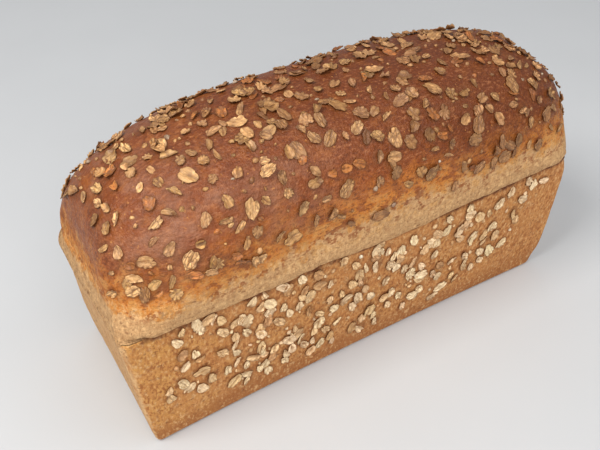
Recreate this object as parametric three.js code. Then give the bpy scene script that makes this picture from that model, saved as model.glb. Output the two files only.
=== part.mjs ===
// A wholemeal tin loaf with oat flakes baked onto its crust, as a three.js scene graph.
//
// The loaf is one solid: a flat foot and four plain sides that the tin shaped, a crease where the dough
// came over the tin's rim, and a crown that rose free above it. The flakes are solids of their own that
// lie on the crust. These are a sample of them, spread over the crown and the two long sides.
//
// Millimetres, +Z up. X runs along the loaf and -Y is its front. The origin is below the middle of the
// whole loaf, on the surface that it stands on.
import * as THREE from "three";

// Driving dimensions: what the tin gave, and how far the crown rose past it.
const FOOT = { length: 246, width: 90, cornerRadius: 4, edgeRadius: 2.5 };
const RIM = { length: 258, width: 88.5, height: 77.5, cornerRadius: 6 };
const CREASE = { depth: 1.6, height: 2 }; // the pinched line just above the rim
const CROWN = { length: 259, width: 95.5, widestAt: 91, height: 143, offset: 2.5 }; // it leans towards +X
const FLAKE = { length: 8.5, width: 5.8, thickness: 0.8, bevel: 0.2 };

// Shape of the tin's part.
const UNDERFILL = { ends: 1.6, sides: 1.4, reach: 12 }; // dough falls short of the tin's lowest corners
const BOW = { foot: -2, rim: 1.3 }; // how far the middle of a long side stands out past its ends
const FOOT_EDGE_STEPS = 3;
const TIN_LEVELS = [0.12, 0.2, 0.32, 0.5, 0.75, 1]; // shares of the rim's height

// Shape of the crown: superellipse arches, long and flat along the loaf, rounder across it.
const ARCH = { alongPower: 3.2, acrossPower: 2.6 };
const SHOULDER = { alongCorner: 30, acrossCorner: 22 }; // plan corners where the crown is widest
// Plan corners at the summit, as shares of the half sizes there.
const SUMMIT = { alongCorner: 0.8, acrossCorner: 0.84 };
const CROWN_LEVELS = [0.15, 0.3, 0.45, 0.58, 0.69, 0.78, 0.85, 0.91, 0.955, 0.985, 0.998];
const SWELL_STEPS = 4; // rings between the crease and the widest line
const TILT = 0.05; // the -X end of the crown rose this share more than the middle, the +X end as much less

// How finely each horizontal section is faceted.
const CORNER_STEPS = 8;
const LONG_SIDE_STEPS = 16;
const SHORT_SIDE_STEPS = 5;

// Where the flakes lie.
const CROWN_FLAKES = { count: 36, reach: 0.8, spread: 62, axisHeight: 70 }; // spread in degrees each way
const FRONT_FLAKES = { count: 13, family: "front_flake", outward: -1 };
const BACK_FLAKES = { count: 9, family: "back_flake", outward: 1 };
const SIDE_AREA = { reach: 0.84, lowest: 16, highest: 66 }; // the stretch of each long side with flakes
const SEAT_GAP = 0.3; // clearance between a flake and the crust under it
const RAY_START = 300; // well outside the loaf
const GOLDEN_SHARE = (Math.sqrt(5) - 1) / 2; // steps of this share of a width leave no rows or clumps
const GOLDEN_TURN = 2 * Math.PI * GOLDEN_SHARE;

const CRUST = new THREE.MeshStandardMaterial({ color: 0xa9683a, roughness: 0.72, metalness: 0 });
const TOASTED_OAT = new THREE.MeshStandardMaterial({ color: 0xd9a661, roughness: 0.6, metalness: 0 });
const PALE_OAT = new THREE.MeshStandardMaterial({ color: 0xe6cc9a, roughness: 0.65, metalness: 0 });

const { lerp, degToRad } = THREE.MathUtils;

// A closed horizontal outline: four elliptical corners joined by straight sides, anticlockwise from +X.
function section(halfLength, halfWidth, cornerAlong, cornerAcross, z, middle = 0) {
  const cornerAt = (signX, signY, angle) =>
    new THREE.Vector3(
      middle + signX * (halfLength - cornerAlong) + cornerAlong * Math.cos(angle),
      signY * (halfWidth - cornerAcross) + cornerAcross * Math.sin(angle),
      z,
    );
  const corners = [
    { signX: 1, signY: 1, stepsToNext: LONG_SIDE_STEPS },
    { signX: -1, signY: 1, stepsToNext: SHORT_SIDE_STEPS },
    { signX: -1, signY: -1, stepsToNext: LONG_SIDE_STEPS },
    { signX: 1, signY: -1, stepsToNext: SHORT_SIDE_STEPS },
  ];
  const points = [];
  corners.forEach(({ signX, signY, stepsToNext }, quarter) => {
    const start = (quarter * Math.PI) / 2;
    for (let step = 0; step <= CORNER_STEPS; step++) {
      points.push(cornerAt(signX, signY, start + (step / CORNER_STEPS) * (Math.PI / 2)));
    }
    const next = corners[(quarter + 1) % corners.length];
    const from = cornerAt(signX, signY, start + Math.PI / 2);
    const to = cornerAt(next.signX, next.signY, start + Math.PI / 2);
    for (let step = 1; step < stepsToNext; step++) {
      points.push(from.clone().lerp(to, step / stepsToNext));
    }
  });
  return points;
}

// A section whose long sides are bowed: their middles stand out by an amount, their ends stay.
function bowed(points, amount) {
  const reach = Math.max(...points.map((point) => point.x));
  const halfWidth = Math.max(...points.map((point) => point.y));
  points.forEach((point) => {
    point.y += amount * (point.y / halfWidth) * Math.max(0, 1 - (point.x / reach) ** 2);
  });
  return points;
}

// The part that the tin shaped: the foot's rounded edge, then the leaning sides up to the rim.
function tinSections() {
  const outlineAt = (z, inset) => {
    const share = z / RIM.height;
    const shortfall = Math.exp(-z / UNDERFILL.reach);
    const corner = lerp(FOOT.cornerRadius, RIM.cornerRadius, share);
    const outline = section(
      lerp(FOOT.length, RIM.length, share) / 2 - UNDERFILL.ends * shortfall - inset,
      lerp(FOOT.width, RIM.width, share) / 2 - UNDERFILL.sides * shortfall - inset,
      corner,
      corner,
      z,
    );
    return bowed(outline, lerp(BOW.foot, BOW.rim, share));
  };
  const sections = [];
  for (let step = 0; step <= FOOT_EDGE_STEPS; step++) {
    const angle = (step / FOOT_EDGE_STEPS) * (Math.PI / 2);
    const z = FOOT.edgeRadius * (1 - Math.cos(angle));
    const inset = FOOT.edgeRadius * (1 - Math.sin(angle));
    sections.push(outlineAt(z, inset));
  }
  return [...sections, ...TIN_LEVELS.map((share) => outlineAt(share * RIM.height, 0))];
}

// The crown: a pinched crease, a swell out to the widest line, then the arch up to the summit.
function crownSections() {
  const creaseHeight = RIM.height + CREASE.height;
  const crease = section(
    RIM.length / 2 - CREASE.depth,
    RIM.width / 2 - CREASE.depth,
    RIM.cornerRadius,
    RIM.cornerRadius,
    creaseHeight,
  );
  const sections = [bowed(crease, BOW.rim)];
  for (let step = 1; step <= SWELL_STEPS; step++) {
    const share = step / SWELL_STEPS;
    const bulge = Math.sin((share * Math.PI) / 2);
    const swell = section(
      lerp(RIM.length, CROWN.length, bulge) / 2,
      lerp(RIM.width, CROWN.width, bulge) / 2,
      lerp(RIM.cornerRadius, SHOULDER.alongCorner, share),
      lerp(RIM.cornerRadius, SHOULDER.acrossCorner, share),
      lerp(creaseHeight, CROWN.widestAt, share),
      CROWN.offset * bulge,
    );
    sections.push(bowed(swell, BOW.rim * (1 - share)));
  }
  for (const share of CROWN_LEVELS) {
    const halfLength = (CROWN.length / 2) * (1 - share ** ARCH.alongPower) ** (1 / ARCH.alongPower);
    const halfWidth = (CROWN.width / 2) * (1 - share ** ARCH.acrossPower) ** (1 / ARCH.acrossPower);
    sections.push(
      section(
        halfLength,
        halfWidth,
        lerp(SHOULDER.alongCorner, SUMMIT.alongCorner * halfLength, share),
        lerp(SHOULDER.acrossCorner, SUMMIT.acrossCorner * halfWidth, share),
        lerp(CROWN.widestAt, CROWN.height, share),
        CROWN.offset,
      ),
    );
  }
  return sections;
}

// The crown rose a little more towards its -X end.
function tilted(point) {
  if (point.z <= CROWN.widestAt) return point;
  const rise = point.z - CROWN.widestAt;
  const along = (point.x - CROWN.offset) / (CROWN.length / 2);
  point.z = CROWN.widestAt + rise * (1 - TILT * along);
  return point;
}

// One closed body through a stack of sections, with a fan over its foot and one over its summit.
function skin(sections) {
  const around = sections[0].length;
  const middleOf = (points) =>
    points.reduce((sum, point) => sum.add(point), new THREE.Vector3()).divideScalar(points.length);
  const foot = middleOf(sections[0]);
  const summit = new THREE.Vector3(CROWN.offset, 0, CROWN.height);
  const vertices = [...sections.flat(), foot, summit];
  const footIndex = vertices.length - 2;
  const summitIndex = vertices.length - 1;
  const faces = [];
  for (let corner = 0; corner < around; corner++) {
    const next = (corner + 1) % around;
    faces.push(footIndex, next, corner);
    for (let level = 0; level + 1 < sections.length; level++) {
      const low = level * around;
      const high = low + around;
      faces.push(low + corner, low + next, high + next);
      faces.push(low + corner, high + next, high + corner);
    }
    const last = (sections.length - 1) * around;
    faces.push(last + corner, last + next, summitIndex);
  }
  const geometry = new THREE.BufferGeometry().setFromPoints(vertices);
  geometry.setIndex(faces);
  geometry.computeVertexNormals();
  return geometry;
}

// A rolled oat: a thin plate, blunt at one end and drawn in at the other, with bevelled edges.
function flakeGeometry(scale) {
  const halfLength = FLAKE.length / 2 - FLAKE.bevel;
  const halfWidth = FLAKE.width / 2 - FLAKE.bevel;
  const blunt = 0.6; // reach of the curves' handles, as a share of the half sizes
  const pointed = 0.35;
  const outline = new THREE.Shape();
  outline.moveTo(halfLength, 0);
  outline.bezierCurveTo(halfLength, halfWidth * blunt, halfLength * blunt, halfWidth, 0, halfWidth);
  outline.bezierCurveTo(-halfLength * blunt, halfWidth, -halfLength, halfWidth * pointed, -halfLength, 0);
  outline.bezierCurveTo(-halfLength, -halfWidth * pointed, -halfLength * blunt, -halfWidth, 0, -halfWidth);
  outline.bezierCurveTo(halfLength * blunt, -halfWidth, halfLength, -halfWidth * blunt, halfLength, 0);
  const geometry = new THREE.ExtrudeGeometry(outline, {
    depth: FLAKE.thickness - 2 * FLAKE.bevel,
    bevelThickness: FLAKE.bevel,
    bevelSize: FLAKE.bevel,
    bevelSegments: 1,
    curveSegments: 3,
  });
  return geometry.scale(scale, scale, 1);
}

// The crust's point and outward direction where a ray towards the loaf first meets it.
function crustSeen(loaf, from, towards) {
  const [hit] = new THREE.Raycaster(from, towards).intersectObject(loaf);
  return { point: hit.point, outward: hit.face.normal };
}

// A flake lying flat on the crust, turned in its own plane.
function seatedFlake(name, seat, turn, scale, material) {
  const flake = new THREE.Mesh(flakeGeometry(scale), material);
  flake.name = name;
  const standing = new THREE.Quaternion().setFromUnitVectors(new THREE.Vector3(0, 0, 1), seat.outward);
  const turned = new THREE.Quaternion().setFromAxisAngle(new THREE.Vector3(0, 0, 1), turn);
  flake.quaternion.copy(standing.multiply(turned));
  flake.position.copy(seat.point).addScaledVector(seat.outward, SEAT_GAP + FLAKE.bevel);
  return flake;
}

// The index-th of count places that fill a square evenly, as two shares from 0 to 1.
function evenPlace(index, count) {
  return [(index + 0.5) / count, (0.5 + index * GOLDEN_SHARE) % 1];
}

// Flakes differ in size by about a tenth either way.
function flakeScale(index) {
  return 1 + 0.1 * Math.sin(index * 2.4);
}

function nodeName(family, index) {
  return `${family}_${String(index + 1).padStart(2, "0")}`;
}

// Flakes on the crown, aimed from all round it at the loaf's long axis.
function crownFlakes(loaf) {
  const group = new THREE.Group();
  for (let index = 0; index < CROWN_FLAKES.count; index++) {
    const [along, across] = evenPlace(index, CROWN_FLAKES.count);
    const x = CROWN.offset + (along - 0.5) * CROWN_FLAKES.reach * CROWN.length;
    const lean = degToRad(lerp(-CROWN_FLAKES.spread, CROWN_FLAKES.spread, across));
    const outward = new THREE.Vector3(0, Math.sin(lean), Math.cos(lean));
    const from = new THREE.Vector3(x, 0, CROWN_FLAKES.axisHeight).addScaledVector(outward, RAY_START);
    const seat = crustSeen(loaf, from, outward.clone().negate());
    const name = nodeName("crown_flake", index);
    group.add(seatedFlake(name, seat, index * GOLDEN_TURN, flakeScale(index), TOASTED_OAT));
  }
  return group;
}

// Flakes that the tin's long walls pressed into the sides.
function sideFlakes(loaf, { count, family, outward }) {
  const group = new THREE.Group();
  for (let index = 0; index < count; index++) {
    const [along, up] = evenPlace(index, count);
    const x = (along - 0.5) * SIDE_AREA.reach * FOOT.length;
    const z = lerp(SIDE_AREA.lowest, SIDE_AREA.highest, up);
    const from = new THREE.Vector3(x, outward * RAY_START, z);
    const seat = crustSeen(loaf, from, new THREE.Vector3(0, -outward, 0));
    const name = nodeName(family, index);
    group.add(seatedFlake(name, seat, index * GOLDEN_TURN, flakeScale(index), PALE_OAT));
  }
  return group;
}

function loafMesh() {
  const sections = [...tinSections(), ...crownSections()];
  sections.forEach((points) => points.forEach(tilted));
  const loaf = new THREE.Mesh(skin(sections), CRUST);
  loaf.name = "loaf";
  loaf.updateMatrixWorld(true);
  return loaf;
}

const loaf = loafMesh();
const tinLoaf = new THREE.Group();
tinLoaf.name = "tin_loaf";
tinLoaf.add(loaf, crownFlakes(loaf), sideFlakes(loaf, FRONT_FLAKES), sideFlakes(loaf, BACK_FLAKES));

// The origin goes below the middle of the whole outline.
const middle = new THREE.Box3().setFromObject(tinLoaf, true).getCenter(new THREE.Vector3());
tinLoaf.position.set(-middle.x, -middle.y, 0);

export default tinLoaf;
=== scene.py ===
"""Tin loaf with oat flakes: every finished surface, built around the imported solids.

The crust is one closed skin. It starts as a stack of smooth level outlines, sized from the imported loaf,
and is then worked with seeded noise: the slightly uneven sides that the tin shaped, the lip that hangs
over the crease, the torn band above it and the lumpy crown. Oat flakes are shaped one at a time and laid
on that skin. Lengths inside the classes are millimetres, and become metres when a mesh is made.

Three measures come up throughout: x and y are places along and across the loaf from its middle, and the
rise is how far up the crust's surface a place lies from the tin's rim, negative below it.
"""

import itertools
import logging
import math
from dataclasses import dataclass, field
from enum import Enum

import bpy
import numpy as np
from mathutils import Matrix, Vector


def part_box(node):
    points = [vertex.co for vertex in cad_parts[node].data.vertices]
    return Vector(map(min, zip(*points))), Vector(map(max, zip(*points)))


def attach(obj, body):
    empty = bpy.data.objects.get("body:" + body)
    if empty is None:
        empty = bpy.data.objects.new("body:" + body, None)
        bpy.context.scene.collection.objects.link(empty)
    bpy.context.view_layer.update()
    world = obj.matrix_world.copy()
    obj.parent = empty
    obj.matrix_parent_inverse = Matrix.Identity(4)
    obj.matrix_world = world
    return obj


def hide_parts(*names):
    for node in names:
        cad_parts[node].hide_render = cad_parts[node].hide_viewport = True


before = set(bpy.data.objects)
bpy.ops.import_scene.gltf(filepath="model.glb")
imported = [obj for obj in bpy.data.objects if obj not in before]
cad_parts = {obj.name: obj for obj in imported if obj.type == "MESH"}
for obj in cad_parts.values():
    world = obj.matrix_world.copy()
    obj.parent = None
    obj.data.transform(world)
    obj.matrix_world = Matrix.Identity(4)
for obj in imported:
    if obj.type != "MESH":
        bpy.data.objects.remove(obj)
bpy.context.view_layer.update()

LOG = logging.getLogger("tin_loaf")
MM = 0.001
TURN = 2 * math.pi
QUARTER_TURN = math.pi / 2

Colour = tuple[float, float, float]
Stretch = tuple[float, float, float]
Socket = bpy.types.NodeSocket
Input = Socket | float | Colour
EVEN = (1.0, 1.0, 1.0)


def smooth(value: np.ndarray, start: float, end: float) -> np.ndarray:
    """Eases value from 0 at start to 1 at end, whichever of them is higher."""
    share = np.clip((value - start) / (end - start), 0, 1)
    return share * share * (3 - 2 * share)


@dataclass(frozen=True)
class Fade:
    """A stretch over which something comes in, from its start to its end."""

    start: float
    end: float

    def at(self, value: np.ndarray) -> np.ndarray:
        """Shares from 0 at the start to 1 at the end, whichever is higher."""
        return smooth(value, self.start, self.end)


@dataclass(frozen=True)
class Hump:
    """A smooth hump: 1 in its middle, and about a third at its reach."""

    middle: float
    reach: float

    def at(self, value: np.ndarray) -> np.ndarray:
        """Shares from 0 to 1, shaped like value."""
        return np.exp(-(((value - self.middle) / self.reach) ** 2))


@dataclass(frozen=True)
class Bumps:
    """One kind of bump in the dough.

    The size is the distance between bumps, alike or along x, y and z. The shift is how far off the noise
    is read, so that two kinds differ. Each layer after the first is half as large and half as deep.
    """

    depth: float
    size: float | Stretch
    shift: float = 0.0
    layers: int = 1


@dataclass(frozen=True)
class DoughNoise:
    """Smooth random bumps through space, alike on every run."""

    seed: int

    # What scrambles a cell's whole numbers: large factors, shifts in bits, and the bits that are kept.
    seed_step = 1013
    factors = np.array([73856093, 19349663, 83492791], np.int64)
    scrambles = ((15, 2246822519), (13, 3266489917))
    all_bits = 0xFFFFFFFF
    low_bits = 0xFFFF
    low_shift = 16

    def corners(self, cells: np.ndarray) -> np.ndarray:
        """Random values for whole-number cells.

        Args:
            cells: whole numbers, with x, y and z last.

        Returns:
            Values from -1 to 1, one for each cell.
        """
        keys = (cells + self.seed * self.seed_step) * self.factors
        mixed = (keys[..., 0] ^ keys[..., 1] ^ keys[..., 2]) & self.all_bits
        for shift, factor in self.scrambles:
            mixed = ((mixed ^ (mixed >> shift)) * factor) & self.all_bits
        return ((mixed ^ (mixed >> self.low_shift)) & self.low_bits) / (self.low_bits / 2) - 1

    def at(self, points: np.ndarray, size: float | Stretch) -> np.ndarray:
        """Bumps of one size.

        Args:
            points: places in millimetres, with x, y and z last.
            size: the distance between bumps, alike or along x, y and z.

        Returns:
            Values from -1 to 1, one for each place.
        """
        where = points / np.asarray(size, float)
        cells = np.floor(where).astype(np.int64)
        ease = smooth(where - cells, 0, 1)
        total = np.zeros(points.shape[:-1])
        for step in itertools.product((0, 1), repeat=3):
            weight = np.where(np.array(step) == 1, ease, 1 - ease).prod(-1)
            total += weight * self.corners(cells + np.array(step))
        return total

    def relief(self, points: np.ndarray, *kinds: Bumps) -> np.ndarray:
        """Several kinds of bumps together.

        Args:
            points: places in millimetres, with x, y and z last.
            kinds: the kinds of bumps.

        Returns:
            Heights in millimetres, one for each place.
        """
        total = np.zeros(points.shape[:-1])
        for kind in kinds:
            for halving in (0.5**layer for layer in range(kind.layers)):
                size = np.asarray(kind.size, float) * halving
                total += kind.depth * halving * self.at(points + kind.shift, size)
        return total


@dataclass(frozen=True)
class Outline:
    """One level outline of the loaf: a rectangle with rounded corners and bowed long sides."""

    half_length: float
    half_width: float
    corner_along: float
    corner_across: float
    height: float
    middle: float
    bow: float = 0.0
    back_left: float = 1.0

    corner_columns = 22
    long_columns = 172
    short_columns = 48

    def corner(self, quarter: int, side_x: int, side_y: int) -> np.ndarray:
        """One rounded corner.

        Args:
            quarter: which corner it is, anticlockwise from the back right.
            side_x: 1 for the right-hand end, -1 for the left.
            side_y: 1 for the back, -1 for the front.

        Returns:
            Its points, as (corner_columns, 2).
        """
        angle = np.linspace(0, QUARTER_TURN, self.corner_columns) + quarter * QUARTER_TURN
        scale = self.back_left if quarter == 1 else 1.0
        along, across = self.corner_along * scale, self.corner_across * scale
        x = side_x * (self.half_length - along) + along * np.cos(angle)
        y = side_y * (self.half_width - across) + across * np.sin(angle)
        return np.stack([x, y], -1)

    def points(self) -> np.ndarray:
        """The whole outline.

        Returns:
            Its points, anticlockwise seen from above, as (columns, 3).
        """
        sides = ((1, 1), (-1, 1), (-1, -1), (1, -1))
        corners = [self.corner(quarter, *side) for quarter, side in enumerate(sides)]
        parts = []
        for quarter, corner in enumerate(corners):
            columns = self.short_columns if quarter % 2 else self.long_columns
            share = np.arange(1, columns)[:, None] / columns
            following = corners[(quarter + 1) % len(corners)][0]
            parts += [corner, corner[-1] + share * (following - corner[-1])]
        flat = np.concatenate(parts)
        room = np.clip(1 - (flat[:, 0] / self.half_length) ** 2, 0, None)
        flat[:, 1] += self.bow * room * flat[:, 1] / self.half_width
        flat[:, 0] += self.middle
        return np.column_stack([flat, np.full(len(flat), self.height)])


@dataclass
class LoafForm:
    """The loaf's smooth shape: what the tin gave, and how the crown rose past it."""

    left: float
    right: float
    top: float
    foot_length: float = 246.0
    foot_width: float = 90.0
    foot_corner: float = 2.6
    foot_edge: float = 1.8
    foot_bow: float = -2.0
    rim_length: float = 258.0
    rim_width: float = 88.5
    rim_corner: float = 5.0
    rim_height: float = 77.5
    rim_bow: float = 1.3
    rim_back_left: float = 3.2  # the corner there is this many times rounder than the others
    underfill: float = 1.5  # how far the dough falls short of the tin at its foot
    underfill_reach: float = 12.0
    crease_depth: float = 2.6
    lip_start: float = 1.6
    lip_dip: float = -1.6
    lip_lift: float = 2.6
    crown_length: float = 259.0
    crown_width: float = 95.0
    shoulder_along: float = 30.0
    shoulder_across: float = 22.0
    summit_along: float = 0.8  # plan corners at the summit, as shares of the half sizes there
    summit_across: float = 0.84
    widest_height: float = 91.0
    along_power: float = 3.2
    across_power: float = 2.6
    tilt: float = 0.05
    row_step: float = 1.4

    sole_rows = 15
    sole_start = 0.02
    crown_levels = 4000
    edge_rows = 5
    lip_rows = 15

    @classmethod
    def from_node(cls, node: str) -> "LoafForm":
        """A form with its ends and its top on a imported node's box."""
        low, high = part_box(node)
        return cls(left=low.x / MM, right=high.x / MM, top=high.z / MM)

    @property
    def tin_middle(self) -> float:
        """The tin's middle along the loaf."""
        return self.left + self.rim_length / 2

    @property
    def crown_middle(self) -> float:
        """The crown's middle, a little towards the right-hand end."""
        return self.right - self.crown_length / 2

    def tin_outline(self, height: float, inset: float = 0.0) -> Outline:
        """An outline of the part that the tin shaped.

        Args:
            height: its height above the table.
            inset: how far it is drawn in, for the foot's rounded edge.

        Returns:
            The outline.
        """
        share = height / self.rim_height
        length = self.foot_length + share * (self.rim_length - self.foot_length)
        width = self.foot_width + share * (self.rim_width - self.foot_width)
        shortfall = self.underfill * math.exp(-height / self.underfill_reach) + inset
        corner = self.foot_corner + share * (self.rim_corner - self.foot_corner)
        return Outline(
            half_length=length / 2 - shortfall,
            half_width=width / 2 - shortfall,
            corner_along=corner,
            corner_across=corner,
            height=height,
            middle=self.tin_middle,
            bow=self.foot_bow + share * (self.rim_bow - self.foot_bow),
            back_left=1 + share * (self.rim_back_left - 1),
        )

    def foot_outlines(self) -> list[Outline]:
        """The underside and the rounded edge round it.

        Returns:
            The flat underside from its middle outwards, then the edge upwards.
        """
        edge = self.tin_outline(0.0, self.foot_edge)
        outlines = []
        for share in np.linspace(self.sole_start, 1, self.sole_rows + 1)[:-1]:
            outlines.append(
                Outline(
                    half_length=edge.half_length - edge.half_width * (1 - share),
                    half_width=edge.half_width * share,
                    corner_along=edge.corner_along * share,
                    corner_across=edge.corner_across * share,
                    height=0.0,
                    middle=edge.middle,
                    bow=edge.bow * share,
                )
            )
        for angle in np.linspace(0, QUARTER_TURN, self.edge_rows):
            rise = self.foot_edge * (1 - math.cos(angle))
            outlines.append(self.tin_outline(rise, self.foot_edge * (1 - math.sin(angle))))
        return outlines

    def wall_outlines(self) -> list[Outline]:
        """The tin's wall.

        Returns:
            Outlines from just above the foot's edge to the rim.
        """
        rows = round((self.rim_height - self.foot_edge) / self.row_step)
        heights = np.linspace(self.foot_edge, self.rim_height, rows + 1)[1:]
        return [self.tin_outline(height) for height in heights]

    def lip_outlines(self) -> list[Outline]:
        """The crease, the lip that hangs a little over it, and the swell up to the widest line.

        Returns:
            Outlines from the crease outwards, which dip before they climb.
        """
        outlines = []
        start, dip, lift = (self.rim_height + z for z in (self.lip_start, self.lip_dip, self.lip_lift))
        for share in np.linspace(0, 1, self.lip_rows):
            rest = 1 - share
            height = start * rest**3 + 3 * dip * rest**2 * share
            height += 3 * lift * rest * share**2 + self.widest_height * share**3
            pinch = self.crease_depth * rest**4
            swell = math.sin(share * QUARTER_TURN)
            length = self.rim_length + swell * (self.crown_length - self.rim_length)
            width = self.rim_width + swell * (self.crown_width - self.rim_width)
            outlines.append(
                Outline(
                    half_length=length / 2 - pinch,
                    half_width=width / 2 - pinch,
                    corner_along=self.rim_corner + share * (self.shoulder_along - self.rim_corner),
                    corner_across=self.rim_corner + share * (self.shoulder_across - self.rim_corner),
                    height=height,
                    middle=self.tin_middle + swell * (self.crown_middle - self.tin_middle),
                    bow=self.rim_bow * rest,
                    back_left=1 + (self.rim_back_left - 1) * rest,
                )
            )
        return outlines

    def arch(self, share: float) -> tuple[float, float]:
        """The crown's size at one level.

        Args:
            share: how far up the crown the level is, from its widest line to the summit.

        Returns:
            The half length and the half width.
        """
        along = (1 - share**self.along_power) ** (1 / self.along_power)
        across = (1 - share**self.across_power) ** (1 / self.across_power)
        return self.crown_length / 2 * along, self.crown_width / 2 * across

    def crown_shares(self) -> np.ndarray:
        """Levels that space the crown's outlines evenly over its surface.

        Returns:
            Shares of the crown's rise, from its widest line to just below the summit.
        """
        fine = 1 - np.linspace(1, 0, self.crown_levels) ** self.along_power
        sizes = np.array([self.arch(share) for share in fine])
        heights = fine * (self.top - self.widest_height)
        steps = np.hypot(np.diff(sizes, axis=0), np.diff(heights)[:, None]).mean(1)
        travel = np.concatenate([[0], np.cumsum(steps)])
        rows = round(travel[-1] / self.row_step)
        return np.interp(np.linspace(0, travel[-1], rows + 1)[1:-1], travel, fine)

    def crown_outlines(self) -> list[Outline]:
        """The arch of the crown.

        Returns:
            Outlines from above its widest line to just below the summit.
        """
        outlines = []
        for share in self.crown_shares():
            half_length, half_width = self.arch(share)
            summit_along = self.summit_along * half_length
            summit_across = self.summit_across * half_width
            outlines.append(
                Outline(
                    half_length=half_length,
                    half_width=half_width,
                    corner_along=self.shoulder_along + share * (summit_along - self.shoulder_along),
                    corner_across=self.shoulder_across + share * (summit_across - self.shoulder_across),
                    height=self.widest_height + share * (self.top - self.widest_height),
                    middle=self.crown_middle,
                )
            )
        return outlines

    def tilted(self, points: np.ndarray) -> np.ndarray:
        """The crown rose more towards its left-hand end.

        Args:
            points: places on the skin.

        Returns:
            The places, with those above the widest line moved up or down.
        """
        rise = np.clip(points[..., 2] - self.widest_height, 0, None)
        along = (points[..., 0] - self.crown_middle) / (self.crown_length / 2)
        moved = points.copy()
        moved[..., 2] -= rise * self.tilt * along
        return moved


class Kept(Enum):
    """What a mesh can keep for each of its points, as Blender's names for the kind and its field."""

    NUMBER = ("FLOAT", "value")
    PLACE = ("FLOAT_VECTOR", "vector")
    COLOUR = ("FLOAT_COLOR", "color")


def add_piece(name: str, points: np.ndarray, faces: list[list[int]]) -> bpy.types.Object:
    """Makes one smooth mesh and puts it in the scene.

    Args:
        name: the new piece's name.
        points: its points in millimetres.
        faces: its faces, as point numbers.

    Returns:
        The piece, in metres.
    """
    mesh = bpy.data.meshes.new(name)
    mesh.from_pydata((points * MM).tolist(), [], faces)
    mesh.polygons.foreach_set("use_smooth", np.ones(len(mesh.polygons), bool))
    mesh.update()
    piece = bpy.data.objects.new(name, mesh)
    bpy.context.scene.collection.objects.link(piece)
    return piece


def keep(piece: bpy.types.Object, name: str, kept: Kept, values: np.ndarray) -> None:
    """Keeps something for each of a mesh's points, for its finish to read.

    Args:
        piece: the piece.
        name: what the finish calls it.
        kept: what it is.
        values: one number, place or colour for each point.
    """
    kind, blender_field = kept.value
    attribute = piece.data.attributes.new(name, kind, "POINT")
    attribute.data.foreach_set(blender_field, values.astype(np.float32).reshape(-1))


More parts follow.
